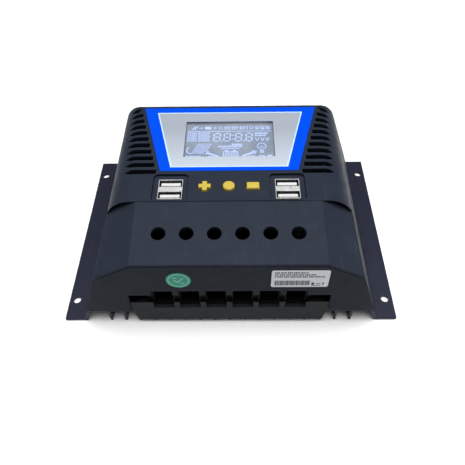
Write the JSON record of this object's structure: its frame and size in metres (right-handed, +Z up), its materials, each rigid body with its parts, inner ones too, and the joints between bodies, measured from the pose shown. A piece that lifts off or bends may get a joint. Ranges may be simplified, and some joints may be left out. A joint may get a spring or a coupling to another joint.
{
  "type": "solar charge controller",
  "caption": "Wall-mounted solar charge controller: finned metal base with side flanges, vented plastic cover, display, keys, USB ports and front wire terminals.",
  "frame": {"origin": "centre of the footprint, on the plane the base rests on", "axes": "+X to the right and +Y towards the back as seen from the terminal side, +Z up out of the display face"},
  "size_m": [0.188, 0.1304, 0.0627],
  "materials": {
    "anodised_aluminium": "satin",
    "cover_plastic": "matte",
    "bezel_plastic": "matte",
    "blue_overlay": "gloss",
    "clear_window": "polished",
    "lcd_panel": "gloss",
    "white_plastic": "matte",
    "circuit_board": "satin",
    "black_plastic": "matte",
    "plated_steel": "satin",
    "brass": "satin",
    "label_paper": "satin",
    "green_sticker": "satin",
    "yellow_rubber": "matte"
  },
  "bodies": {
    "housing": {"heatsink": "anodised_aluminium", "cover": "cover_plastic", "terminal_bezel": "bezel_plastic", "face_overlay": "blue_overlay", "lcd_window": "clear_window", "lcd_glass": "lcd_panel", "lcd_backlight": "white_plastic", "display_board": "circuit_board", "power_board": "circuit_board", "board_link": "black_plastic", "rating_label": "label_paper", "inspection_dot": "green_sticker", "switch_plus": "black_plastic", "switch_set": "black_plastic", "switch_minus": "black_plastic", "usb_shell_left": "plated_steel", "usb_shell_right": "plated_steel", "usb_tongue_left_upper": "white_plastic", "usb_tongue_left_lower": "white_plastic", "usb_tongue_right_upper": "white_plastic", "usb_tongue_right_lower": "white_plastic", "terminal_block": "black_plastic", "contact_bar_1": "brass", "contact_bar_2": "brass", "contact_bar_3": "brass", "contact_bar_4": "brass", "contact_bar_5": "brass", "contact_bar_6": "brass", "cover_screw_1": "plated_steel", "cover_screw_2": "plated_steel", "cover_screw_3": "plated_steel", "cover_screw_4": "plated_steel", "board_spacer_1": "brass", "board_spacer_2": "brass", "board_spacer_3": "brass", "board_spacer_4": "brass", "capacitor_1": "black_plastic", "capacitor_2": "black_plastic", "mosfet_1": "black_plastic", "mosfet_2": "black_plastic", "mosfet_3": "black_plastic"},
    "plus_key": {"key_plus": "yellow_rubber", "plunger_plus": "white_plastic"},
    "set_key": {"key_set": "yellow_rubber", "plunger_set": "white_plastic"},
    "minus_key": {"key_minus": "yellow_rubber", "plunger_minus": "white_plastic"},
    "screw_1": {"terminal_screw_1": "plated_steel"},
    "cage_1": {"terminal_cage_1": "plated_steel"},
    "screw_2": {"terminal_screw_2": "plated_steel"},
    "cage_2": {"terminal_cage_2": "plated_steel"},
    "screw_3": {"terminal_screw_3": "plated_steel"},
    "cage_3": {"terminal_cage_3": "plated_steel"},
    "screw_4": {"terminal_screw_4": "plated_steel"},
    "cage_4": {"terminal_cage_4": "plated_steel"},
    "screw_5": {"terminal_screw_5": "plated_steel"},
    "cage_5": {"terminal_cage_5": "plated_steel"},
    "screw_6": {"terminal_screw_6": "plated_steel"},
    "cage_6": {"terminal_cage_6": "plated_steel"}
  },
  "joints": [
    {"name": "press_plus", "type": "slide", "parent": "housing", "child": "plus_key", "axis": [0, 0, -1], "range_m": [0, 0.0006], "stiffness_N_per_m": 800, "springref_m": -0.0005},
    {"name": "press_set", "type": "slide", "parent": "housing", "child": "set_key", "axis": [0, 0, -1], "range_m": [0, 0.0006], "stiffness_N_per_m": 800, "springref_m": -0.0005},
    {"name": "press_minus", "type": "slide", "parent": "housing", "child": "minus_key", "axis": [0, 0, -1], "range_m": [0, 0.0006], "stiffness_N_per_m": 800, "springref_m": -0.0005},
    {"name": "turn_screw_1", "type": "hinge", "parent": "housing", "child": "screw_1", "pos_m": [-0.0355, -0.0472, 0.042], "axis": [0, 0, -1], "range_deg": [0, 3150]},
    {"name": "raise_cage_1", "type": "slide", "parent": "housing", "child": "cage_1", "axis": [0, 0, 1], "range_m": [0, 0.006]},
    {"name": "turn_screw_2", "type": "hinge", "parent": "housing", "child": "screw_2", "pos_m": [-0.0213, -0.0472, 0.042], "axis": [0, 0, -1], "range_deg": [0, 3150]},
    {"name": "raise_cage_2", "type": "slide", "parent": "housing", "child": "cage_2", "axis": [0, 0, 1], "range_m": [0, 0.006]},
    {"name": "turn_screw_3", "type": "hinge", "parent": "housing", "child": "screw_3", "pos_m": [-0.0071, -0.0472, 0.042], "axis": [0, 0, -1], "range_deg": [0, 3150]},
    {"name": "raise_cage_3", "type": "slide", "parent": "housing", "child": "cage_3", "axis": [0, 0, 1], "range_m": [0, 0.006]},
    {"name": "turn_screw_4", "type": "hinge", "parent": "housing", "child": "screw_4", "pos_m": [0.0071, -0.0472, 0.042], "axis": [0, 0, -1], "range_deg": [0, 3150]},
    {"name": "raise_cage_4", "type": "slide", "parent": "housing", "child": "cage_4", "axis": [0, 0, 1], "range_m": [0, 0.006]},
    {"name": "turn_screw_5", "type": "hinge", "parent": "housing", "child": "screw_5", "pos_m": [0.0213, -0.0472, 0.042], "axis": [0, 0, -1], "range_deg": [0, 3150]},
    {"name": "raise_cage_5", "type": "slide", "parent": "housing", "child": "cage_5", "axis": [0, 0, 1], "range_m": [0, 0.006]},
    {"name": "turn_screw_6", "type": "hinge", "parent": "housing", "child": "screw_6", "pos_m": [0.0355, -0.0472, 0.042], "axis": [0, 0, -1], "range_deg": [0, 3150]},
    {"name": "raise_cage_6", "type": "slide", "parent": "housing", "child": "cage_6", "axis": [0, 0, 1], "range_m": [0, 0.006]}
  ],
  "couplings": [
    {"joint": "turn_screw_1", "follows": "raise_cage_1", "rad_per_m": 8976},
    {"joint": "turn_screw_2", "follows": "raise_cage_2", "rad_per_m": 8976},
    {"joint": "turn_screw_3", "follows": "raise_cage_3", "rad_per_m": 8976},
    {"joint": "turn_screw_4", "follows": "raise_cage_4", "rad_per_m": 8976},
    {"joint": "turn_screw_5", "follows": "raise_cage_5", "rad_per_m": 8976},
    {"joint": "turn_screw_6", "follows": "raise_cage_6", "rad_per_m": 8976}
  ]
}
